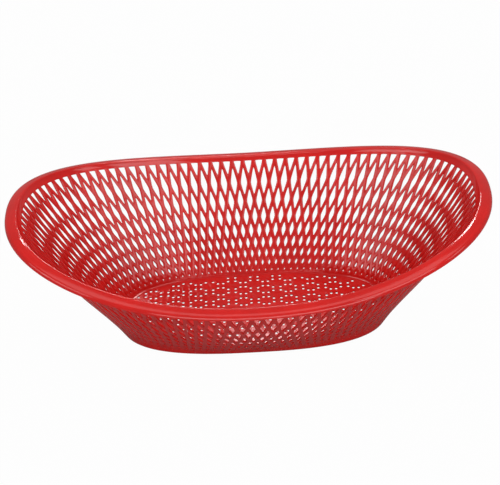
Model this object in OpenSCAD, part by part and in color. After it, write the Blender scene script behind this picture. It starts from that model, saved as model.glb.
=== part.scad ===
// Oval moulded basket: a flared lattice wall on a flat floor, under a saddle-shaped rim.
// Millimetres. Z is up, the basket stands on z = 0, and its long side lies along X.
// A place on the wall is given by a column, counted round the basket, and by a level,
// which runs from 0 a little under the table to 1 at the crest, so every row follows the
// rim's sweep.

/* [Rim] */
// Length over the rim, end to end
basket_l = 380; // [320:2:440]
// Width over the rim, side to side
basket_w = 252; // [210:2:290]
// Height of the crest at the middle of each side
side_h = 82.2; // [70:0.2:96]
// Height of the crest at the two ends
end_h = 109.2; // [92:0.2:130]
// Power of the sweep from the low sides to the high ends
sweep = 2; // [1.5:0.05:2.6]
// How square the rim is in plan, where 2 is an ellipse
rim_square = 2.28; // [2.05:0.01:2.6]

/* [Lip] */
// Width of the lip that turns outwards from the crest
lip_w = 9.4; // [7:0.1:14]
// Height of the lip, from the crest down to its free edge
lip_drop = 5.4; // [4:0.1:9]
// Fall of the lip's top between the crest and the shoulder
lip_fall = 1.2; // [0.6:0.1:2]
// Rounding of the crest and of the lip's shoulder
lip_r = 1.8; // [1:0.1:2.4]
// Thickness of the lip
lip_t = 1.6; // [1.2:0.1:2.2]

/* [Floor] */
// Length of the oval that the wall runs down to at level 0
low_l = 207; // [180:1:230]
// Width of the oval that the wall runs down to at level 0
low_w = 101; // [85:1:120]
// How square that oval is in plan, where 2 is an ellipse
low_square = 3; // [2.3:0.05:3.6]
// How far level 0 lies under the table
sink = 3.8; // [2:0.1:6]
// Thickness of the floor
floor_t = 1.4; // [1:0.1:2.4]
// Rounding between the floor and the wall inside
floor_r = 1.6; // [1:0.1:2]
// Rounding between the wall and the floor's underside
heel_r = 1.3; // [0.8:0.1:1.6]

/* [Wall] */
// Thickness of the wall between the ribs
wall_t = 0.7; // [0.7:0.1:2.2]
// How far the ribs stand proud of the wall, on each face
rib_proud = 0.6; // [0.2:0.05:1]
// How square the middle of the wall is in plan, where 2 is an ellipse
wall_square = 2.13; // [2.02:0.01:2.6]
// Share of the flare at the ends that bends and isn't straight
end_bow = 0.145; // [0:0.005:0.4]
// Share of the flare at the sides that bends and isn't straight
side_bow = 0.31; // [0:0.005:0.5]
// How far the sides stand out near level 0, before they turn under
heel = 6; // [0:0.25:8]
// Level below which they stand out
heel_level = 0.15; // [0.1:0.01:0.25]

/* [Lattice] */
// Diamonds in each row round the wall
columns = 96; // [80:4:104]
// Rows of diamonds, the half row under the rim not counted
rows = 7; // [5:1:7]
// Level of the lattice's top edge
top_level = 0.955; // [0.93:0.005:0.97]
// Level of the middle of the first whole row
first_level = 0.769; // [0.74:0.001:0.79]
// Height of each row as a share of the row above it
row_shrink = 0.849; // [0.84:0.001:0.87]
// Level below the table that the rows close up towards
row_sink = 0.2255; // [0.2:0.0005:0.24]
// Row that is cut through, counted from the rim
open_row = 1; // [1:1:5]
// Width of an opening as a share of the column spacing
open_w = 0.6; // [0.4:0.01:0.75]
// Height of an opening as a share of its diamond
open_h = 0.63; // [0.4:0.01:0.75]
// Turn of the whole lattice, in columns
turn = -0.2; // [-0.5:0.05:0.5]
// Swing of the columns towards the ends of the basket, in degrees
swing = 6.1; // [0:0.1:8]
// Second swing, which evens the spacing near the corners, in degrees
corner_swing = 0.7; // [0:0.05:1.5]

/* [Hidden] */
plastic_red = [0.80, 0.15, 0.13];
// Power that gathers the low oval's squareness near the table
low_fade = 8;
// Power of the part of the flare that bends
bow_power = 2.2;
// How far the wall's middle surface lies inside that oval at level 0
low_inset = 1.2;
// Step for slopes, in columns and in levels
slope_step = 0.01;
// Lengths of the half axes of the wall's middle surface at the crest and at level 0
rim_a = basket_l/2 - lip_w;
rim_b = basket_w/2 - lip_w;
low_a = low_l/2 - low_inset;
low_b = low_w/2 - low_inset;
rib_out = wall_t/2 + rib_proud;
lip_slope = lip_fall/lip_w;

// A number raised to a power, with its own sign
function signed_pow(x, p) = sign(x)*pow(abs(x), p);
function unit(p) = p/norm(p);
// Angle in plan of a column
function column_angle(col) =
    let (t = -360*(col - turn)/columns)
    90 + t - swing*sin(2*t) - corner_swing*sin(4*t);
// Level of the crossings of a row, which close up towards the table
function row_level(row) =
    row == 0 ? top_level : (first_level + row_sink)*pow(row_shrink, row - 1) - row_sink;
// Share of the flare that is left at a level
function flare_left(level, bow) =
    (1 - bow)*(1 - level) + bow*pow(1 - level, bow_power);
function half_length(level) = rim_a - (rim_a - low_a)*flare_left(level, end_bow);
function half_width(level) =
    rim_b - (rim_b - low_b)*flare_left(level, side_bow)
    + heel*pow(max(1 - level/heel_level, 0), 2);
function squareness(level) =
    wall_square + (rim_square - wall_square)*level
    + (low_square - wall_square)*pow(1 - level, low_fade);
// Height of the crest over a place that lies a share of the way out to the ends
function crest_h(share) = side_h + (end_h - side_h)*pow(abs(share), sweep);
// Share of the way out to the ends for a column at a level
function end_share(col, level) =
    signed_pow(cos(column_angle(col)), 2/squareness(level));
// Point on the wall's middle surface
function wall_point(col, level) =
    let (across = signed_pow(sin(column_angle(col)), 2/squareness(level)))
    [half_length(level)*end_share(col, level), half_width(level)*across,
     level*(crest_h(end_share(col, level)) + sink) - sink];
// Outward direction square to the wall
function wall_normal(col, level) =
    let (below = max(level - slope_step, 0), above = min(level + slope_step, 1))
    unit(cross(wall_point(col, above) - wall_point(col, below),
               wall_point(col + slope_step, level) - wall_point(col - slope_step, level)));
// Outward direction in plan
function plan_normal(col, level) =
    let (along = wall_point(col + slope_step, level) - wall_point(col - slope_step, level))
    unit([-along[1], along[0], 0]);
// Point at a distance out from the wall's middle surface
function off_wall(col, level, out) = wall_point(col, level) + out*wall_normal(col, level);
// Point beside the crest, from its distance outwards and its height over the crest
function lip_point(col, section) =
    wall_point(col, 1) + section[0]*plan_normal(col, 1) + [0, 0, section[1]];
// Point low on the wall at a height, from its distance outwards
function low_point(col, section) =
    let (level = (section[1] + sink)/(crest_h(end_share(col, 0)) + sink),
         q = wall_point(col, level) + section[0]*plan_normal(col, level))
    [q[0], q[1], section[1]];

// Section of the lip: inside of the crest, over the top, round the shoulder and back under
lip_section = [
    [-rib_out, -lip_r],
    [lip_r, 0],
    [lip_w - lip_r, -lip_fall],
    [lip_w - lip_r*(1 - cos(45)), -lip_fall - lip_r*(1 - sin(45))],
    [lip_w, -lip_fall - lip_r],
    [lip_w, -lip_drop],
    [lip_w - lip_t, -lip_drop],
    [lip_w - lip_t - lip_slope, -lip_fall - lip_t],
    [rib_out + lip_t, -lip_t - lip_slope*lip_t]];
// Section inside, from the edge of the floor up to the wall
floor_section = [for (a = [90:-45:0])
    [-wall_t/2 - floor_r*(1 - cos(a)), floor_t + floor_r*(1 - sin(a))]];
// Section outside, from the wall round to the floor's underside
heel_section = [for (a = [0:45:90]) [wall_t/2 - heel_r*(1 - cos(a)), heel_r*(1 - sin(a))]];

// Column of point i on a ring, where every second row is set over by half a column
function ring_col(i, row) = i + (row % 2 == 0 ? 0.5 : 0);
function cell_col(i, row) = i + (row % 2 == 0 ? 0 : 0.5);
closed_rows = [for (row = [0:rows]) if (row != open_row) row];
last = rows + 1;
low_shift = ring_col(0, last);

// Rings of points, in the order in which a section is walked from the floor over the rim
floor_rings = [for (s = floor_section) [for (i = [0:columns - 1]) low_point(i + low_shift, s)]];
inner_rings = [for (row = [0:last])
    [for (i = [0:columns - 1]) off_wall(ring_col(i, row), row_level(row), -rib_out)]];
lip_rings = [for (s = lip_section) [for (i = [0:columns - 1]) lip_point(ring_col(i, 0), s)]];
outer_rings = [for (row = [0:last])
    [for (i = [0:columns - 1]) off_wall(ring_col(i, row), row_level(row), rib_out)]];
heel_rings = [for (s = heel_section) [for (i = [0:columns - 1]) low_point(i + low_shift, s)]];
// The middle of each closed diamond, sunk to the wall's face
function pit_level(row) = row == 0 ? (2*row_level(0) + row_level(1))/3 : row_level(row);
function pit_ring(row, out) =
    [for (i = [0:columns - 1]) off_wall(cell_col(i, row), pit_level(row), out)];
inner_pits = [for (row = closed_rows) pit_ring(row, -wall_t/2)];
outer_pits = [for (row = closed_rows) pit_ring(row, wall_t/2)];
// Corners of an opening, in columns and in levels: top, low column, bottom, high column
open_mid = row_level(open_row);
open_corners = [
    [0, open_mid + open_h*(row_level(open_row - 1) - open_mid)],
    [-open_w/2, open_mid],
    [0, open_mid - open_h*(open_mid - row_level(open_row + 1))],
    [open_w/2, open_mid]];
function corner_ring(corner, out) =
    [for (i = [0:columns - 1]) off_wall(cell_col(i, open_row) + corner[0], corner[1], out)];
inner_corners = [for (c = open_corners) corner_ring(c, -wall_t/2)];
outer_corners = [for (c = open_corners) corner_ring(c, wall_t/2)];

rings = concat(floor_rings, inner_rings, lip_rings, outer_rings, heel_rings,
               inner_pits, outer_pits, inner_corners, outer_corners);
// Number of the first ring of each kind
floor_at = 0;
inner_at = floor_at + len(floor_rings);
lip_at = inner_at + len(inner_rings);
outer_at = lip_at + len(lip_rings);
heel_at = outer_at + len(outer_rings);
inner_pit_at = heel_at + len(heel_rings);
outer_pit_at = inner_pit_at + len(inner_pits);
inner_corner_at = outer_pit_at + len(outer_pits);
outer_corner_at = inner_corner_at + len(inner_corners);

// Number of a point, from its ring and its place on it
function point_id(ring, i) = ring*columns + (i + columns) % columns;
function two_triangles(q) = [[q[0], q[1], q[2]], [q[0], q[2], q[3]]];
// Faces of the inner side run the other way round
function turned(faces, inside) = inside ? [for (f = faces) [f[2], f[1], f[0]]] : faces;
// Band of faces from one ring to the next
function band(ring_1, ring_2) = [for (i = [0:columns - 1]) each two_triangles(
    [point_id(ring_1, i), point_id(ring_2, i), point_id(ring_2, i + 1), point_id(ring_1, i + 1)])];
// Corners of diamond i of a row, in the order top, low column, bottom, high column
function cell_corners(at, row, i) =
    let (low = row % 2 == 0 ? i - 1 : i)
    [point_id(at + row - 1, i), point_id(at + row, low),
     point_id(at + row + 1, i), point_id(at + row, low + 1)];
// Four faces, or three under the rim, that fall from the ribs to the middle of a diamond
function pit_faces(at, pit_at, row, inside) =
    let (k = search(row, closed_rows)[0])
    turned([for (i = [0:columns - 1])
        let (c = cell_corners(at, row, i), p = point_id(pit_at + k, i))
        each (row == 0 ? [[c[1], c[2], p], [c[2], c[3], p], [c[3], c[1], p]]
                       : [for (e = [0:3]) [c[e], c[(e + 1) % 4], p]])], inside);
// Rib faces that fall from the crossings to an opening's edge
function rib_faces(at, corner_at, inside) = turned([for (i = [0:columns - 1])
    let (c = cell_corners(at, open_row, i)) for (e = [0:3]) let (f = (e + 1) % 4)
        each two_triangles([c[e], c[f], point_id(corner_at + f, i), point_id(corner_at + e, i)])],
    inside);
// Faces through the wall, round each opening
function edge_faces() = [for (i = [0:columns - 1], e = [0:3]) let (f = (e + 1) % 4)
    each two_triangles([point_id(outer_corner_at + e, i), point_id(outer_corner_at + f, i),
                        point_id(inner_corner_at + f, i), point_id(inner_corner_at + e, i)])];
// Half diamonds between the last row and the heel
function last_faces(at, inside) = turned([for (i = [0:columns - 1])
    let (low = last % 2 == 0 ? i - 1 : i)
    [point_id(at + last - 1, i), point_id(at + last, low), point_id(at + last, low + 1)]],
    inside);
function lattice_faces(at, pit_at, corner_at, inside) = concat(
    [for (row = closed_rows) each pit_faces(at, pit_at, row, inside)],
    rib_faces(at, corner_at, inside), last_faces(at, inside));
function bands(ring_list) = [for (k = [0:len(ring_list) - 2])
    each band(ring_list[k], ring_list[k + 1])];

module basket() {
    faces = concat(
        [[for (i = [0:columns - 1]) point_id(floor_at, i)]],
        bands([for (k = [floor_at:inner_at - 1]) k]),
        band(inner_at - 1, inner_at + last),
        lattice_faces(inner_at, inner_pit_at, inner_corner_at, true),
        band(inner_at, lip_at),
        bands([for (k = [lip_at:outer_at]) k]),
        lattice_faces(outer_at, outer_pit_at, outer_corner_at, false),
        edge_faces(),
        band(outer_at + last, heel_at),
        bands([for (k = [heel_at:inner_pit_at - 1]) k]),
        [[for (i = [columns - 1:-1:0]) point_id(inner_pit_at - 1, i)]]);
    color(plastic_red)
        polyhedron(points = [for (ring = rings) each ring], faces = faces);
}

basket();
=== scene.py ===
"""Oval basket, moulded in one piece: a lattice wall that flares from a small flat floor to a
saddle-shaped rim with an outturned lip, round a floor with small drain holes.

Lengths are metres. Z is up, the basket stands on z = 0 and its long side lies along X.
A place on the wall is given by a column, counted round the basket, and by a level, which
runs from 0 a little under the table to 1 at the crest, so every row follows the sweep of
the rim.
"""
import math
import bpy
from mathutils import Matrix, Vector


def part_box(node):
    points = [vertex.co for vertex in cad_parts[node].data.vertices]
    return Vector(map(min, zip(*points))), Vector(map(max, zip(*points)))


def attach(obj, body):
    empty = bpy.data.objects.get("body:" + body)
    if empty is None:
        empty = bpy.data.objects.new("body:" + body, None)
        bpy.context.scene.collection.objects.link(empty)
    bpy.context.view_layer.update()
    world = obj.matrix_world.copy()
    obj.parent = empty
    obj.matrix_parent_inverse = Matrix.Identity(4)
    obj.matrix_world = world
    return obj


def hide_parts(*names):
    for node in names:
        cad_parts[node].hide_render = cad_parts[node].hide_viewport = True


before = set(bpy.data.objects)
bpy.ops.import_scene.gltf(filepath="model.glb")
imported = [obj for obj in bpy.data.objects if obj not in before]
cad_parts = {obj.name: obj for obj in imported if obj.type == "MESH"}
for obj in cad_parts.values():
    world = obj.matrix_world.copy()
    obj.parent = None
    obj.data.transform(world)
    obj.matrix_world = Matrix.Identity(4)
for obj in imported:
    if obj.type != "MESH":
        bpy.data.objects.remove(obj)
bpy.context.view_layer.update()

from types import SimpleNamespace

import bpy
import numpy as np
from mathutils import Matrix
from mathutils.geometry import delaunay_2d_cdt

bl_info = {
    "name": "Oval lattice basket",
    "version": (1, 0, 0),
    "blender": (4, 5, 0),
    "location": "View3D > Sidebar > Basket",
    "description": "Makes a moulded oval basket with a lattice wall, and its studio",
    "category": "Add Mesh",
}

MM = 0.001
CAD_LOW, CAD_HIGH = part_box("basket")


def linear(hex_colour):
    """Linear red, green, blue and alpha of an sRGB hex colour."""
    parts = [int(hex_colour[i:i + 2], 16) / 255 for i in (1, 3, 5)]
    return tuple(c / 12.92 if c <= 0.04045 else ((c + 0.055) / 1.055) ** 2.4
                 for c in parts) + (1.0,)


# Sizes and colours

def length(name, text, default, low, high):
    """A length in metres, shown in the scene's own unit."""
    return bpy.props.FloatProperty(name=name, description=text, default=default, min=low,
                                   max=high, precision=4, subtype="DISTANCE", unit="LENGTH")


def share(name, text, default, low, high):
    """A plain number without a unit."""
    return bpy.props.FloatProperty(name=name, description=text, default=default, min=low,
                                   max=high, precision=4)


def tint(name, text, hex_colour):
    """A colour that the user can change."""
    return bpy.props.FloatVectorProperty(name=name, description=text, size=4, min=0, max=1,
                                         default=linear(hex_colour), subtype="COLOR")


class BasketForm(bpy.types.PropertyGroup):
    """Sizes of the moulding. Lengths are metres, and shares have no unit."""
    basket_l: length("Length", "Length over the rim, end to end",
                     round(CAD_HIGH[0] - CAD_LOW[0], 4), 0.2, 0.6)
    basket_w: length("Width", "Width over the rim, side to side",
                     round(CAD_HIGH[1] - CAD_LOW[1], 4), 0.1, 0.5)
    side_h: length("Side height", "Height of the crest at the middle of each side",
                   0.0822, 0.04, 0.2)
    end_h: length("End height", "Height of the crest at the two ends",
                  round(CAD_HIGH[2], 4), 0.05, 0.3)
    rim_square: share("Rim squareness", "How square the rim is, where 2 is an ellipse",
                      2.28, 2.0, 4.0)
    lip_w: length("Lip width", "Width of the lip that turns outwards", 0.0094, 0.004, 0.02)
    lip_drop: length("Lip height", "Height of the lip down to its free edge",
                     0.0054, 0.003, 0.012)
    lip_fall: length("Lip fall", "Fall of the lip's top out to the shoulder",
                     0.0012, 0.0, 0.004)
    lip_r: length("Crest rounding", "Rounding of the crest, where the lip starts",
                  0.0014, 0.0005, 0.003)
    shoulder_r: length("Shoulder rounding", "Rounding between the lip's top and its side",
                       0.0038, 0.0005, 0.004)
    lip_t: length("Lip thickness", "Thickness of the lip", 0.0016, 0.001, 0.003)
    low_l: length("Low oval length", "Length of the oval that the wall runs down to at "
                  "level 0, under the table", 0.207, 0.1, 0.4)
    low_w: length("Low oval width", "Width of the oval that the wall runs down to at "
                  "level 0, under the table", 0.101, 0.05, 0.3)
    low_square: share("Low oval squareness", "How square that oval is, where 2 is an "
                      "ellipse", 3.0, 2.0, 5.0)
    low_inset: length("Low oval inset", "How far the wall's middle surface lies inside that "
                      "oval at level 0", 0.0012, 0.0, 0.004)
    sink: length("Sink", "How far level 0 lies under the table", 0.0038, 0.0, 0.01)
    heel: length("Heel", "How far the sides stand out near level 0", 0.006, 0.0, 0.015)
    heel_level: share("Heel level", "Level up to which the heel reaches", 0.15, 0.05, 0.5)
    edge_ring: length("Edge width", "Width of the edge under the floor that stands on the "
                      "table", 0.0009, 0.0008, 0.006)
    floor_z: length("Floor height", "Height of the top of the floor", 0.0014, 0.001, 0.02)
    floor_t: length("Floor thickness", "Thickness of the floor", 0.001, 0.0005, 0.004)
    floor_r: length("Floor rounding", "Rounding between the floor and the wall inside",
                    0.0003, 0.0002, 0.004)
    rib_t: length("Rib thickness", "Thickness of the wall at the ribs", 0.0014, 0.0008, 0.004)
    wall_square: share("Wall squareness", "How square the middle of the wall is", 2.13, 2, 4)
    end_bow: share("End bow", "Share of the flare at the ends that bends", 0.145, 0, 1)
    side_bow: share("Side bow", "Share of the flare at the sides that bends", 0.31, 0, 1)


class LatticeForm(bpy.types.PropertyGroup):
    """The rows and columns of openings in the wall, and the drain holes of the floor."""
    columns: bpy.props.IntProperty(name="Columns", default=108, min=24, max=160,
                                   description="Openings in each row round the wall")
    rows: bpy.props.IntProperty(name="Rows", default=8, min=2, max=12,
                                description="Whole rows under the half row at the rim")
    top_level: share("Top level", "Level of the lattice's top edge", 0.962, 0.8, 0.99)
    first_level: share("First level", "Level of the middle of the first whole row",
                       0.769, 0.5, 0.9)
    row_shrink: share("Row shrink", "Height of a row as a share of the row above",
                      0.849, 0.6, 1.0)
    row_sink: share("Row sink", "How far under level 0 the rows close up to, in levels",
                    0.2255, 0.0, 1.0)
    last_level: share("Last level", "Level at which the lattice ends over the floor",
                      0.068, 0.0, 0.2)
    open_w: share("Opening width", "Width of an opening in the first whole row, as a share "
                  "of its column", 0.595, 0.1, 0.9)
    open_h: share("Opening height", "Height of an opening in the first whole row, as a share "
                  "of its diamond", 0.635, 0.1, 0.9)
    close_up: share("Closing up", "Share by which the openings are smaller in the last row "
                    "but one than in the first", 0.56, 0.0, 0.9)
    turn: share("Turn", "Turn of the whole lattice, in columns", -0.2, -1, 1)
    swing: share("Swing", "Swing of the columns towards the ends, in degrees", 5.55, 0, 20)
    low_swing: share("Low swing", "What the swing grows by down to level 0, in degrees",
                     2.75, 0, 20)
    corner_swing: share("Corner swing", "Second swing, which evens the corners, in degrees",
                        -1.05, -5, 5)
    ring_pitch_x: length("Ring pitch along", "Spacing of the rings of drain holes along X",
                         0.0186, 0.005, 0.05)
    ring_pitch_y: length("Ring pitch across", "Spacing of the rings of drain holes along Y",
                         0.017, 0.005, 0.05)
    ring_shift: length("Ring shift", "Shift of the whole pattern of rings along X",
                       0.00145, -0.01, 0.01)
    ring_shift_y: length("Ring shift across", "Shift of the pattern of rings along Y",
                         -0.0008, -0.01, 0.01)
    drain_x: length("Drain hole along", "Width of a drain hole along X",
                    0.0025, 0.0005, 0.005)
    drain_y: length("Drain hole across", "Width of a drain hole across, along Y",
                    0.0033, 0.0005, 0.005)


class BasketFinish(bpy.types.PropertyGroup):
    """Colours and gloss of the plastic, and the level of the studio light."""
    plastic: tint("Plastic", "Colour of the moulded plastic", "#D91C18")
    plastic_deep: tint("Plastic, deep", "Colour where the pigment is denser", "#CF1915")
    roughness: share("Roughness", "Roughness of the moulded surface", 0.08, 0.03, 1.0)
    floor: tint("Floor", "Colour of the studio floor", "#A8A8A8")
    light: share("Light", "Level of the studio lamps, where 1 is the plain level",
                 1.0, 0.0, 4.0)


# The wall's surface

BOW_POWER = 2.2     # power of the part of the flare that bends
LOW_FADE = 8        # power that gathers the low oval's squareness near level 0
SWING_FADE = 4      # power that gathers the low rows' own swing near level 0
STEP = 0.01         # step for slopes, in columns and in levels
STEPS_A_COLUMN = 3  # points of the rim and the floor's edge in one column


def unit(vectors):
    """The vectors at length 1."""
    return vectors / np.linalg.norm(vectors, axis=-1, keepdims=True)


def squareness(b, level):
    """Superellipse power: a straight change from the wall's to the rim's, and a rise to the
    low oval's that fades with a power of the level left."""
    return (b.wall_square + (b.rim_square - b.wall_square) * level
            + (b.low_square - b.wall_square) * (1 - level) ** LOW_FADE)


def plan_shares(b, col, level):
    """Share of the way out to the ends and to the sides. The column's angle runs evenly round
    the basket, less two small sine swings that shift the columns between sides, corners and
    ends. The first swing grows towards level 0. The angle's cosine and sine give the
    direction, and the level's squareness gives how far out the outline lies in it."""
    turned = -2 * np.pi * (col - b.turn) / b.columns
    swing = np.radians(b.swing + b.low_swing * (1 - level) ** SWING_FADE)
    angle = (np.pi / 2 + turned - swing * np.sin(2 * turned)
             - np.radians(b.corner_swing) * np.sin(4 * turned))
    to_ends, to_sides = np.cos(angle), np.sin(angle)
    power = squareness(b, level)
    reach = (np.abs(to_ends) ** power + np.abs(to_sides) ** power) ** (-1 / power)
    return to_ends * reach, to_sides * reach


def crest_height(b, to_ends):
    """Height of the crest, which rises with the square of the share towards the ends."""
    return b.side_h + (b.end_h - b.side_h) * to_ends ** 2


def wall_point(b, col, level):
    """Middle surface of the wall: half axes that grow from the low oval to the rim, partly
    in a straight line and partly with a power of the level left, times the plan shares. Near
    the floor the heel is added to the half width, and fades with the square of the way up to
    its level. The height runs evenly from the sink at level 0 to the crest at level 1."""
    col, level = np.broadcast_arrays(np.asarray(col, float), np.asarray(level, float))
    left = np.clip(1 - level, 0, None)
    end_left = (1 - b.end_bow) * left + b.end_bow * left ** BOW_POWER
    side_left = (1 - b.side_bow) * left + b.side_bow * left ** BOW_POWER
    rim_a, rim_b = b.basket_l / 2 - b.lip_w, b.basket_w / 2 - b.lip_w
    low_a, low_b = b.low_l / 2 - b.low_inset, b.low_w / 2 - b.low_inset
    heel = b.heel * np.clip(1 - level / b.heel_level, 0, None) ** 2
    to_ends, to_sides = plan_shares(b, col, level)
    crest = crest_height(b, to_ends)
    return np.stack([(rim_a - (rim_a - low_a) * end_left) * to_ends,
                     (rim_b - (rim_b - low_b) * side_left + heel) * to_sides,
                     level * (crest + b.sink) - b.sink], axis=-1)


def wall_normal(b, col, level):
    """Outward direction square to the wall, from the cross product of its two slopes."""
    below, above = np.maximum(level - STEP, 0), np.minimum(level + STEP, 1)
    return unit(np.cross(wall_point(b, col, above) - wall_point(b, col, below),
                         wall_point(b, col + STEP, level) - wall_point(b, col - STEP, level)))


def off_wall(b, col, level, out):
    """Point at a distance out from the middle surface, along the wall's normal."""
    col, level, out = np.broadcast_arrays(*(np.asarray(v, float) for v in (col, level, out)))
    return wall_point(b, col, level) + out[..., None] * wall_normal(b, col, level)


def plan_normal(b, col, level):
    """Outward direction in plan, square to the level curve."""
    along = wall_point(b, col + STEP, level) - wall_point(b, col - STEP, level)
    return unit(np.stack([-along[..., 1], along[..., 0], 0 * along[..., 0]], axis=-1))


def crest_sections(b, col, section):
    """Profile carried along the crest: each section point is a distance outwards in plan and
    a height over the crest. Returns one ring of points for each section point."""
    col = col[None, :] + 0 * section[:, :1]
    return (wall_point(b, col, 1.0) + section[:, :1, None] * plan_normal(b, col, 1.0)
            + section[:, 1:, None] * np.array([0, 0, 1.0]))


def floor_sections(b, col, section):
    """Profile carried round the floor: each section point is a distance outwards in plan
    from the middle surface at its height, and that height over the table."""
    col = col[None, :] + 0 * section[:, :1]
    height = section[:, 1:] + 0 * col
    to_ends, _ = plan_shares(b, col, 0 * col)
    crest = crest_height(b, to_ends)
    level = (height + b.sink) / (crest + b.sink)
    point = wall_point(b, col, level) + section[:, :1, None] * plan_normal(b, col, level)
    return np.concatenate([point[..., :2], height[..., None]], axis=-1)


# Patches of mesh

WELD_GRID = 2e-6    # points that round to the same place on a grid of this step are one


def strips(count, around):
    """Quads between neighbouring rings of one patch, from the number of rings and of points
    round each. Each ring closes on itself."""
    here = np.arange(count * around).reshape(count, around)
    after = np.roll(here, -1, axis=1)
    return np.stack([here[:-1], after[:-1], after[1:], here[1:]], axis=-1).reshape(-1, 4)


def many_strips(patches, count, around):
    """The same strips for many patches, whose points lie one patch after another."""
    one = strips(count, around)
    return (one[None] + (np.arange(patches) * count * around)[:, None, None]).reshape(-1, 4)


def welded(parts):
    """Joins patches (points, faces) into one, and merges the points that round to the same
    place. Returns the points, the quads and the triangles."""
    points = np.concatenate([p.reshape(-1, 3) for p, _ in parts])
    shift = np.cumsum([0] + [p.reshape(-1, 3).shape[0] for p, _ in parts])
    quads = [f + s for (_, f), s in zip(parts, shift) if f.shape[1] == 4]
    triangles = [f + s for (_, f), s in zip(parts, shift) if f.shape[1] == 3]
    keys = np.round(points / WELD_GRID).astype(np.int64)
    _, first, name = np.unique(keys, axis=0, return_index=True, return_inverse=True)
    name = name.reshape(-1)
    return (points[first], name[np.concatenate(quads)], name[np.concatenate(triangles)])


def object_from(name, points, quads, triangles, sharp_degrees):
    """Mesh object from arrays of points, quads and triangles, shaded smooth up to an angle."""
    mesh = bpy.data.meshes.new(name)
    sizes = np.concatenate([np.full(len(quads), 4), np.full(len(triangles), 3)])
    corners = np.concatenate([quads.reshape(-1), triangles.reshape(-1)])
    mesh.vertices.add(len(points))
    mesh.vertices.foreach_set("co", points.astype(np.float32).reshape(-1))
    mesh.loops.add(len(corners))
    mesh.loops.foreach_set("vertex_index", corners.astype(np.int32))
    mesh.polygons.add(len(sizes))
    mesh.polygons.foreach_set("loop_start", (np.cumsum(sizes) - sizes).astype(np.int32))
    mesh.update(calc_edges=True)
    if mesh.validate():
        raise RuntimeError(f"{name} has faces that don't close")
    mesh.shade_smooth()
    mesh.set_sharp_from_angle(angle=math.radians(sharp_degrees))
    made = bpy.data.objects.new(name, mesh)
    bpy.context.scene.collection.objects.link(made)
    return made


# The lattice

# Places along one side of a diamond, as shares of the side. They gather at its ends, where
# the opening's corners are round.
SIDE = np.array([0.0, 0.2, 0.8])
CLOSE_POWER = 1.4           # power by which the openings close up towards the floor
HALF_ROW_SIZE = (0.9, 0.95)     # the half row's openings, as shares of the first row's
HALF_ROW_SWELL = 0.12       # how far their sides swell
SWELL = (0.09, 0.1)         # swell of the whole rows at the top, and what it grows by
LAST_SIZE = (0.13, 0.16)    # the last row's tiny openings, as shares of their diamonds
CLOSED_MIDDLE = (0.0, 0.3)  # where the closed cells under the last row have their middle
THIRD = 1 / 3
# The half row's corner, the point under it and the point in its flat top: across as a share
# of the opening's width, and up.
HALF_ROW_TOP = ((1.04, -0.06), (0.86, -0.2), (0.5, -0.05))


def diamond():
    """Twelve points round a diamond of half width and half height 1, from the top tip by
    the high column, the bottom tip and the low column."""
    across = np.concatenate([SIDE, 1 - SIDE, -SIDE, SIDE - 1])
    up = np.concatenate([1 - SIDE, -SIDE, SIDE - 1, SIDE])
    return np.stack([across, up], axis=-1)


def bulge(outline, by):
    """Moves the points between the tips outwards, so that a diamond's sides swell."""
    tips = np.isclose(np.abs(outline).max(axis=1), 1)
    return outline * np.where(tips, 1.0, 1.0 + by)[:, None]


def row_level(b, row):
    """Level of a row's middle. The whole rows shrink by one factor towards the floor."""
    if row == 0:
        return b.top_level
    if row > b.rows:
        return b.last_level
    return (b.first_level + b.row_sink) * b.row_shrink ** (row - 1) - b.row_sink


def row_places(b, row, outline):
    """Columns and levels of an outline round every cell of a row. A cell's own coordinates
    run from -1 to 1 across one column spacing and down to the next row's middle."""
    start = np.arange(b.columns) + (0.0 if row % 2 == 0 else 0.5)
    middle = row_level(b, row)
    over = row_level(b, row - 1) - middle if row else 0.0
    under = middle - row_level(b, row + 1) if row <= b.rows else 0.0
    across, up = outline[..., 0], outline[..., 1]
    level = middle + np.where(up > 0, up * over, up * under)
    return start[:, None, None] + 0.5 * across[None], np.broadcast_to(
        level[None], (b.columns,) + level.shape)


# Where each ring of a cell lies: a share of the way from the opening's edge to the middle of
# the rib, and a distance out from the middle surface as a share of half the rib's thickness.
CELL_RINGS = np.array([[1.0, 1.0], [0.3, 0.98], [0.07, 0.84], [0.0, 0.5],
                       [0.0, -0.5], [0.1, -0.9], [1.0, -1.0]])


def cell_patches(b, row, edge, opening):
    """The ribs round each opening of a row: rings of points that start in the middle of the
    ribs outside, round over to the opening's edge, pass through the wall and end in the
    middle of the ribs inside."""
    along, out = CELL_RINGS[:, 0, None, None], CELL_RINGS[:, 1] * b.rib_t / 2
    outline = opening + along * (edge - opening)
    col, level = row_places(b, row, outline)
    points = off_wall(b, col, level, out[None, :, None])
    return points, many_strips(b.columns, len(CELL_RINGS), len(edge))


def solid_cells(b, row, edge, middle):
    """Closed cells of a row, as fans round their middle, outside and inside."""
    around = len(edge)
    col, level = row_places(b, row, np.concatenate([edge, [middle]])[None])
    own = (np.arange(b.columns) * (around + 1))[:, None]
    here = own + np.arange(around)[None]
    after = own + (np.arange(around)[None] + 1) % around
    centre = own + around + 0 * here
    outside = np.stack([here, after, centre], axis=-1).reshape(-1, 3)
    return [(off_wall(b, col, level, b.rib_t / 2), outside),
            (off_wall(b, col, level, -b.rib_t / 2), outside[:, ::-1])]


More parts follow.
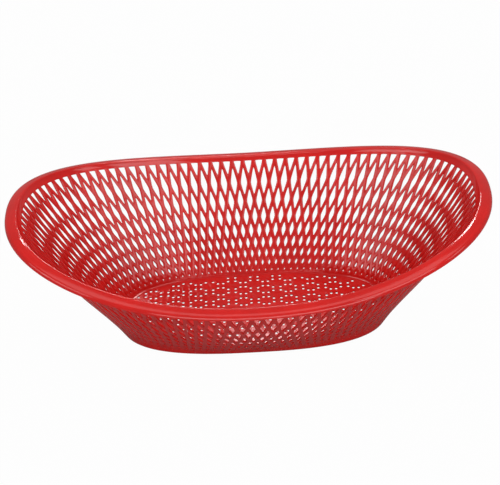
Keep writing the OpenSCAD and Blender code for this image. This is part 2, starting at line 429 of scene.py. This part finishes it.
def lattice_parts(b):
    """All rows: half diamonds with a flat top under the rim, whole diamonds that get rounder
    towards the floor, a last row of tiny holes, and closed half cells below it."""
    around = diamond()
    parts = []
    # half row under the rim: low side of a diamond, and a top side in three steps
    low = around[3:10]
    edge = np.concatenate([low, [[-THIRD, 0.0], [THIRD, 0.0]]])
    opening = (bulge(low, HALF_ROW_SWELL)
               * [b.open_w * HALF_ROW_SIZE[0], b.open_h * HALF_ROW_SIZE[1]])
    corner, below, flat = ([b.open_w * across, up] for across, up in HALF_ROW_TOP)
    mirror = np.array([-1, 1])
    opening[0], opening[-1] = corner, mirror * corner
    opening[1], opening[-2] = below, mirror * below
    opening = np.concatenate([opening, [mirror * flat, flat]])
    parts.append(cell_patches(b, 0, edge, opening))
    for row in range(1, b.rows + 1):
        down = (row - 1) / (b.rows - 2)
        small = 1 - b.close_up * down ** CLOSE_POWER
        size = [b.open_w * small, b.open_h * small] if row < b.rows else LAST_SIZE
        opening = bulge(around, SWELL[0] + SWELL[1] * down) * size
        parts.append(cell_patches(b, row, around, opening))
    top = np.concatenate([around[:4], [[THIRD, 0.0], [-THIRD, 0.0]], around[9:]])
    parts += solid_cells(b, b.rows + 1, top, CLOSED_MIDDLE)
    return parts


# Rim and floor

EDGE_R = 0.35 * MM      # rounding of the lip's free edge
UNDER_GAP = 0.2 * MM    # how much deeper than the lip's thickness the hollow's roof lies
HOLLOW_R = 1.2 * MM     # rounding of the hollow at the lip's outer wall
ROOT_R = 0.8 * MM       # rounding of the hollow at the basket's wall
TOP_SHARE = 0.45        # share of the lip's width at which its top has a point between
TURN_OUT_R = 1.3 * MM   # rounding from the wall to the edge that stands on the table
# Rounding from the wall into the floor: out and up, as shares of the floor's rounding. Its
# last point keeps a flat strip before the plate.
TURN_IN = np.array([[-0.18, 0.34], [-0.42, 0.15], [-0.72, 0.04], [-1.0, 0.0], [-1.8, 0.0]])
# Middles of the two drain holes in a quarter of a ring, from the ring's middle.
RING_QUARTER = np.array([[2.2, 5.2], [6.25, 2.6]]) * MM
RINGS_ALONG, RINGS_ACROSS = 12, 9   # rings of the grid, before the floor's edge cuts it
HOLE_POINTS = 8         # points round a drain hole
HOLE_MARGIN = 1.06      # times its own size, at which a drain hole must still fit the floor


def arc(centre, radius, start, end, count):
    """A count of points on a circular arc in a section, from one angle to another in
    degrees."""
    angle = np.radians(np.linspace(start, end, count))
    return np.stack([centre[0] + radius * np.cos(angle), centre[1] + radius * np.sin(angle)],
                    axis=-1)


def lip_section(b):
    """Profile of the lip, as distance out and height over the crest: up the inside, round the
    crest, down the sloping top, round the shoulder, down to the free edge, and back under
    with a small hollow to the wall outside."""
    inner = -b.rib_t / 2
    r, round_off, slope = b.lip_r, b.shoulder_r, b.lip_fall / b.lip_w
    tilt = math.degrees(math.atan(slope))
    under = -b.lip_t - UNDER_GAP
    return np.concatenate([
        arc((inner + r, -r), r, 180, 90 - tilt, 6),
        [[b.lip_w * TOP_SHARE, -b.lip_fall * TOP_SHARE]],
        arc((b.lip_w - round_off, -b.lip_fall - round_off), round_off, 90 - tilt, 0, 9),
        arc((b.lip_w - EDGE_R, -b.lip_drop + EDGE_R), EDGE_R, 0, -90, 3),
        arc((b.lip_w - b.lip_t + EDGE_R, -b.lip_drop + EDGE_R), EDGE_R, -90, -180, 3),
        arc((b.lip_w - b.lip_t - HOLLOW_R, under - HOLLOW_R), HOLLOW_R, 0, 90, 4),
        arc((-inner + ROOT_R, under - ROOT_R), ROOT_R, 90, 180, 4)])


def rim_part(b):
    """Rim band: the lattice's top ring inside, the lip's profile, and the ring outside."""
    col = np.arange(b.columns * STEPS_A_COLUMN) / STEPS_A_COLUMN - 0.5
    inside = off_wall(b, col, b.top_level, -b.rib_t / 2)[None]
    outside = off_wall(b, col, b.top_level, b.rib_t / 2)[None]
    rings = np.concatenate([inside, crest_sections(b, col, lip_section(b)), outside])
    return rings, strips(*rings.shape[:2])


def floor_parts(b):
    """Floor. The wall rounds into it inside and under it outside, where a narrow edge stands
    on the table and the floor's underside lies a little higher."""
    col = np.arange(b.columns * STEPS_A_COLUMN) / STEPS_A_COLUMN
    inner = -b.rib_t / 2
    turn_in = TURN_IN * b.floor_r + [inner, b.floor_z]
    inside = np.concatenate([off_wall(b, col, b.last_level, inner)[None],
                             floor_sections(b, col, turn_in)])
    under, edge = b.floor_z - b.floor_t, -inner - TURN_OUT_R - b.edge_ring
    turn_out = np.concatenate([
        arc((edge + b.edge_ring, TURN_OUT_R), TURN_OUT_R, -10, -90, 5),
        arc((edge + under / 2, under / 2), under / 2, -90, -180, 3), [[edge, under]]])
    outside = np.concatenate([off_wall(b, col, b.last_level, -inner)[None],
                              floor_sections(b, col, turn_out)])
    parts = [(rings, strips(*rings.shape[:2])[:, ::side])
             for rings, side in ((inside, -1), (outside, 1))]
    return parts + plate_parts(b, inside[-1], outside[-1])


def within(points, loop):
    """Whether plan points lie inside a loop round the origin: their distance from it is
    compared with the loop's, at the same bearing."""
    bearing = np.arctan2(loop[:, 1], loop[:, 0])
    order = np.argsort(bearing)
    reach = np.interp(np.arctan2(points[..., 1], points[..., 0]), bearing[order],
                      np.linalg.norm(loop[order, :2], axis=1), period=2 * np.pi)
    return np.linalg.norm(points[..., :2], axis=-1) < reach


def drain_rims(b, edge):
    """Outlines of the drain holes: rings of eight oval holes on an even grid, kept where a
    hole and a margin round it lie inside the floor's edge."""
    ring = np.concatenate([RING_QUARTER * s for s in ([1, 1], [-1, 1], [-1, -1], [1, -1])])
    along = (np.arange(RINGS_ALONG) - RINGS_ALONG // 2 + 0.5) * b.ring_pitch_x + b.ring_shift
    across = (np.arange(RINGS_ACROSS) - RINGS_ACROSS // 2) * b.ring_pitch_y + b.ring_shift_y
    middles = np.stack(np.meshgrid(along, across, indexing="ij"), axis=-1).reshape(-1, 1, 2)
    holes = (middles + ring[None]).reshape(-1, 1, 2)
    angle = 2 * np.pi * (np.arange(HOLE_POINTS) + 0.5) / HOLE_POINTS
    wheel = np.stack([np.cos(angle) * b.drain_x, np.sin(angle) * b.drain_y], axis=-1) / 2
    return (holes + wheel)[within(holes + HOLE_MARGIN * wheel, edge).all(axis=1)]


def flat_faces(loops, z, facing):
    """Flat plate at a height, filled between closed plan loops by a triangulation that keeps
    every loop's edges. Lengths go to millimetres for it, since it works in single numbers."""
    spots = np.concatenate(loops)
    first = np.cumsum([0] + [len(loop) for loop in loops])
    edges = np.concatenate([np.stack([start + np.arange(len(loop)),
                                      start + np.roll(np.arange(len(loop)), -1)], axis=-1)
                            for start, loop in zip(first, loops)])
    made = delaunay_2d_cdt((spots / MM).tolist(), edges.tolist(), [], 1, 1e-6)
    faces = np.array(made[2])
    if len(made[0]) != len(spots) or faces.shape[1] != 3:
        raise RuntimeError("the floor plate didn't triangulate")
    name = np.array([own[0] for own in made[3]])
    faces = name[faces]
    corner = spots[faces]
    one, two = corner[:, 1] - corner[:, 0], corner[:, 2] - corner[:, 0]
    turned = (one[:, 0] * two[:, 1] - one[:, 1] * two[:, 0]) * facing < 0
    faces[turned] = faces[turned][:, ::-1]
    return np.column_stack([spots, np.full(len(spots), z)]), faces


def plate_parts(b, top_edge, low_edge):
    """Floor plate: a flat top, a flat underside, and short walls through every drain hole. A
    hole that would meet the standing edge is left out."""
    low = b.floor_z - b.floor_t
    rims = drain_rims(b, top_edge)
    rims = rims[within(rims, low_edge).all(axis=1)]
    around = len(top_edge)

    def open_faces(faces):
        """The faces that don't have all their corners on one drain hole, whose points come
        after those of the plate's edge."""
        hole = (faces - around) // HOLE_POINTS
        return faces[(hole[:, 0] < 0) | (hole != hole[:, :1]).any(axis=1)]

    parts = []
    for edge, z, facing in ((top_edge, b.floor_z, 1), (low_edge, low, -1)):
        points, faces = flat_faces([edge[:, :2], *rims], z, facing)
        parts.append((points, open_faces(faces)))
    through = np.stack([np.dstack([rims, np.full(rims.shape[:2], z)])
                        for z in (b.floor_z, low)], axis=1)
    parts.append((through, many_strips(len(rims), 2, HOLE_POINTS)))
    return parts


# Materials

PIGMENT_PATCH = 30 * MM     # size of the patches in which the pigment is denser
SHRINK_WAVE = 7 * MM        # length of the waves in the moulded surface
MOULD_GRAIN = 0.5 * MM      # grain of the mould's polish
PAPER_FIBRE = 2 * MM        # fibres of the studio paper
PAPER_LIFT = 0.98           # how far the paper is lifted to white for the camera
AIR_LEVEL = 0.3             # light from all round


def add_node(tree, kind, settings=None, inputs=None, links=None):
    """Adds a node, sets its own settings and its sockets' values, and links its sockets."""
    node = tree.nodes.new(kind)
    for name, value in (settings or {}).items():
        setattr(node, name, value)
    for name, value in (inputs or {}).items():
        node.inputs[name].default_value = value
    for name, socket in (links or {}).items():
        tree.links.new(socket, node.inputs[name])
    return node


def new_material(name):
    """Empty material with its output node."""
    material = bpy.data.materials.new(name)
    material.use_nodes = True
    material.node_tree.nodes.clear()
    return material, material.node_tree


def polypropylene_injection_moulded(finish):
    """Polypropylene, coloured through and injection moulded in a polished mould. It gives an
    even, saturated colour, a high gloss, faint waves where the plastic shrank as it cooled,
    and a very fine grain from the mould's polish."""
    material, tree = new_material("polypropylene_injection_moulded")
    place = add_node(tree, "ShaderNodeTexCoord").outputs["Object"]
    # flow of the pigment, hardly visible
    flow = add_node(tree, "ShaderNodeTexNoise", {"noise_dimensions": "3D"},
                    {"Scale": 1 / PIGMENT_PATCH, "Detail": 2.0, "Roughness": 0.45,
                     "Distortion": 0.6}, {"Vector": place})
    spread = add_node(tree, "ShaderNodeMapRange", None,
                      {"From Min": 0.35, "From Max": 0.65, "To Min": 0.0, "To Max": 1.0},
                      {"Value": flow.outputs["Fac"]})
    colour = add_node(tree, "ShaderNodeMix", {"data_type": "RGBA"}, None,
                      {"Factor": spread.outputs["Result"]})
    colour.inputs["A"].default_value = finish.plastic
    colour.inputs["B"].default_value = finish.plastic_deep
    # polish of the mould, drawn coarser than real grit
    grain = add_node(tree, "ShaderNodeTexNoise", None,
                     {"Scale": 1 / MOULD_GRAIN, "Detail": 2.0, "Roughness": 0.6},
                     {"Vector": place})
    # waves where the plastic shrank
    waves = add_node(tree, "ShaderNodeTexNoise", None,
                     {"Scale": 1 / SHRINK_WAVE, "Detail": 1.0, "Roughness": 0.4},
                     {"Vector": place})
    gloss = add_node(tree, "ShaderNodeMapRange", None,
                     {"From Min": 0.3, "From Max": 0.7, "To Min": finish.roughness - 0.02,
                      "To Max": finish.roughness + 0.03}, {"Value": waves.outputs["Fac"]})
    soft = add_node(tree, "ShaderNodeBump", None, {"Strength": 0.5, "Distance": 0.012 * MM},
                    {"Height": waves.outputs["Fac"]})
    fine = add_node(tree, "ShaderNodeBump", None, {"Strength": 0.4, "Distance": 0.0012 * MM},
                    {"Height": grain.outputs["Fac"], "Normal": soft.outputs["Normal"]})
    surface = add_node(tree, "ShaderNodeBsdfPrincipled", None,
                       {"IOR": 1.49, "Subsurface Weight": 0.06,
                        "Subsurface Radius": (1.0, 0.25, 0.15),
                        "Subsurface Scale": 1.2 * MM},
                       {"Base Color": colour.outputs["Result"],
                        "Roughness": gloss.outputs["Result"],
                        "Normal": fine.outputs["Normal"]})
    add_node(tree, "ShaderNodeOutputMaterial", None, None,
             {"Surface": surface.outputs["BSDF"]})
    return material


def studio_paper(finish):
    """Seamless matt paper for the studio floor. The camera sees it lifted towards white, so
    only a faint shadow stays, while it lights the object as plain pale paper does."""
    material, tree = new_material("studio_paper_matt")
    place = add_node(tree, "ShaderNodeTexCoord").outputs["Object"]
    fibre = add_node(tree, "ShaderNodeTexNoise", None,
                     {"Scale": 1 / PAPER_FIBRE, "Detail": 2.0}, {"Vector": place})
    bump = add_node(tree, "ShaderNodeBump", None, {"Strength": 0.1, "Distance": 0.02 * MM},
                    {"Height": fibre.outputs["Fac"]})
    paper = add_node(tree, "ShaderNodeBsdfPrincipled", None,
                     {"Base Color": finish.floor, "Roughness": 0.9,
                      "Specular IOR Level": 0.1}, {"Normal": bump.outputs["Normal"]})
    white = add_node(tree, "ShaderNodeEmission", None, {"Color": (1, 1, 1, 1),
                                                        "Strength": 1.0})
    path = add_node(tree, "ShaderNodeLightPath")
    lift = add_node(tree, "ShaderNodeMath", {"operation": "MULTIPLY"}, {1: PAPER_LIFT},
                    {0: path.outputs["Is Camera Ray"]})
    mixed = add_node(tree, "ShaderNodeMixShader", None, None,
                     {0: lift.outputs[0], 1: paper.outputs["BSDF"],
                      2: white.outputs["Emission"]})
    add_node(tree, "ShaderNodeOutputMaterial", None, None, {"Surface": mixed.outputs[0]})
    return material


# Stage

# The view of the photograph: place in metres, turn round Z, rise over the horizon and roll
# in degrees, lens in millimetres on a 36 mm sensor, and the shift of the picture's middle.
CAMERA_PLACE = (0.0020093, -1.238597, 0.823167)
CAMERA_TURN, CAMERA_RISE, CAMERA_ROLL = 0.0929, 32.4207, -3.1542
CAMERA_LENS, CAMERA_SENSOR, CAMERA_SHIFT = 131.80, 36.0, (-0.00376, 0.0649)
CAMERA_CLIP = (0.05, 50.0)
FLOOR_HALF, FLOOR_STEPS = 6.0, 4    # half the studio floor's side, and its steps each way
LAMP_AIM = (0, 0, 0.05)             # what the lamps face
SHARP_DEGREES = 62                  # edges of the moulding sharper than this stay sharp
FLOOR_SHARP_DEGREES = 30


def camera_matrix():
    """Columns of the camera's own axes: right and up turned by the roll, and back."""
    turn, rise, roll = (math.radians(v) for v in (CAMERA_TURN, CAMERA_RISE, CAMERA_ROLL))
    back = np.array([math.sin(turn) * math.cos(rise), -math.cos(turn) * math.cos(rise),
                     math.sin(rise)])
    right = np.array([math.cos(turn), math.sin(turn), 0.0])
    up = np.cross(back, right)
    matrix = np.eye(4)
    matrix[:3, 0] = math.cos(roll) * right + math.sin(roll) * up
    matrix[:3, 1] = -math.sin(roll) * right + math.cos(roll) * up
    matrix[:3, 2] = back
    matrix[:3, 3] = CAMERA_PLACE
    return Matrix(matrix.tolist())


def floor_sheet(half, steps):
    """Grid of points on z = 0, from -half to half both ways, and its quads."""
    line = np.linspace(-half, half, steps + 1)
    x, y = np.meshgrid(line, line)
    number = np.arange((steps + 1) ** 2).reshape(steps + 1, steps + 1)
    quads = np.stack([number[:-1, :-1], number[:-1, 1:], number[1:, 1:], number[1:, :-1]],
                     axis=-1).reshape(-1, 4)
    return np.stack([x, y, 0 * x], axis=-1).reshape(-1, 3), quads


# Soft lamps of the studio: name, place, size and power in watts. The pairs to the right and
# left lay a faint sheen on the wall inside. lamp_back mirrors in the floor behind the low
# openings of the front wall, and the two beside it light the rim from behind.
LAMPS = (
    ("lamp_over", (0.0, -0.05, 1.7), (1.8, 1.2), 7.5),
    ("lamp_front", (0.15, -2.1, 0.42), (2.0, 0.8), 15.0),
    ("lamp_right", (0.91, -1.09, 1.16), (0.9, 0.7), 5.0),
    ("lamp_left", (-1.35, -0.78, 0.95), (0.9, 0.6), 4.0),
    ("lamp_side_right", (1.50, -0.46, 0.92), (0.4, 0.5), 1.4),
    ("lamp_side_left", (-1.59, -0.28, 0.84), (0.5, 0.4), 1.4),
    ("lamp_back", (0.05, 1.44, 1.16), (0.22, 0.22), 2.8),
    ("lamp_back_right", (0.30, 1.06, 1.42), (0.24, 0.22), 4.5),
    ("lamp_back_left", (-0.47, 1.13, 1.38), (0.12, 0.12), 0.9),
)


def area_lamp(name, place, size, power):
    """White rectangular lamp at a place, which faces the lamps' aim."""
    data = bpy.data.lights.new(name, "AREA")
    data.shape, data.size, data.size_y = "RECTANGLE", size[0], size[1]
    data.energy = power
    lamp = bpy.data.objects.new(name, data)
    back = unit(np.array(place, float) - LAMP_AIM)
    side = unit(np.cross([0, 0, 1.0], back))
    matrix = np.eye(4)
    matrix[:3, 0], matrix[:3, 1], matrix[:3, 2] = side, np.cross(back, side), back
    matrix[:3, 3] = place
    lamp.matrix_world = Matrix(matrix.tolist())
    bpy.context.scene.collection.objects.link(lamp)


def studio_world(level):
    """Even pale light from all round, white where the camera sees it directly."""
    world = bpy.data.worlds.new("studio_air")
    bpy.context.scene.world = world
    world.use_nodes = True
    tree = world.node_tree
    tree.nodes.clear()
    path = add_node(tree, "ShaderNodeLightPath")
    soft = add_node(tree, "ShaderNodeBackground", None,
                    {"Color": (1, 1, 1, 1), "Strength": AIR_LEVEL * level})
    white = add_node(tree, "ShaderNodeBackground", None,
                     {"Color": (1, 1, 1, 1), "Strength": 1.0})
    both = add_node(tree, "ShaderNodeMixShader", None, None,
                    {0: path.outputs["Is Camera Ray"], 1: soft.outputs[0],
                     2: white.outputs[0]})
    add_node(tree, "ShaderNodeOutputWorld", None, None, {"Surface": both.outputs[0]})


# Operators and panel

def own_names(group):
    """Names of a group's own properties, without the two that Blender adds."""
    return [name for name in group.bl_rna.properties.keys()
            if name not in ("rna_type", "name")]


def basket_sizes(scene):
    """Every size of the two groups in one plain object, so functions read short names."""
    values = {}
    for group in (scene.basket_form, scene.basket_lattice):
        for name in own_names(group):
            values[name] = getattr(group, name)
    return SimpleNamespace(**values)


class BASKET_OT_moulding(bpy.types.Operator):
    """Make the basket's one moulding: lattice wall, rim with its lip, and floor"""
    bl_idname = "basket.moulding"
    bl_label = "Basket moulding"

    def execute(self, context):
        b = basket_sizes(context.scene)
        parts = lattice_parts(b) + [rim_part(b)] + floor_parts(b)
        piece = object_from("basket_moulding", *welded(parts), SHARP_DEGREES)
        piece.data.materials.append(
            polypropylene_injection_moulded(context.scene.basket_finish))
        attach(piece, "root")
        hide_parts("basket")
        return {"FINISHED"}


class BASKET_OT_studio(bpy.types.Operator):
    """Make the studio: pale floor, soft lamps, even air light and the camera"""
    bl_idname = "basket.studio"
    bl_label = "Studio"

    def execute(self, context):
        finish = context.scene.basket_finish
        points, quads = floor_sheet(FLOOR_HALF, FLOOR_STEPS)
        no_triangles = np.zeros((0, 3), int)
        floor = object_from("studio_floor", points, quads, no_triangles,
                            FLOOR_SHARP_DEGREES)
        floor.data.materials.append(studio_paper(finish))
        for name, place, size, power in LAMPS:
            area_lamp(name, place, size, power * finish.light)
        studio_world(finish.light)
        data = bpy.data.cameras.new("camera")
        data.lens, data.sensor_width = CAMERA_LENS, CAMERA_SENSOR
        data.shift_x, data.shift_y = CAMERA_SHIFT
        data.clip_start, data.clip_end = CAMERA_CLIP
        camera = bpy.data.objects.new("camera", data)
        camera.matrix_world = camera_matrix()
        context.scene.collection.objects.link(camera)
        context.scene.camera = camera
        context.scene.view_settings.view_transform = "Standard"
        return {"FINISHED"}


class BASKET_PT_sidebar(bpy.types.Panel):
    """Panel with the basket's sizes, colours and the two things it makes"""
    bl_idname = "BASKET_PT_sidebar"
    bl_label = "Oval lattice basket"
    bl_space_type = "VIEW_3D"
    bl_region_type = "UI"
    bl_category = "Basket"

    def draw(self, context):
        scene = context.scene
        for group, title in ((scene.basket_form, "Moulding"),
                             (scene.basket_lattice, "Lattice and drain holes"),
                             (scene.basket_finish, "Finish and light")):
            box = self.layout.box()
            box.label(text=title)
            for name in own_names(group):
                box.prop(group, name)
        self.layout.operator("basket.moulding")
        self.layout.operator("basket.studio")


CLASSES = (BasketForm, LatticeForm, BasketFinish, BASKET_OT_moulding, BASKET_OT_studio,
           BASKET_PT_sidebar)


def register():
    for each in CLASSES:
        bpy.utils.register_class(each)
    bpy.types.Scene.basket_form = bpy.props.PointerProperty(type=BasketForm)
    bpy.types.Scene.basket_lattice = bpy.props.PointerProperty(type=LatticeForm)
    bpy.types.Scene.basket_finish = bpy.props.PointerProperty(type=BasketFinish)


def unregister():
    for name in ("basket_form", "basket_lattice", "basket_finish"):
        delattr(bpy.types.Scene, name)
    for each in reversed(CLASSES):
        bpy.utils.unregister_class(each)


def main():
    register()
    bpy.ops.basket.moulding()
    bpy.ops.basket.studio()


if __name__ == "__main__":
    main()
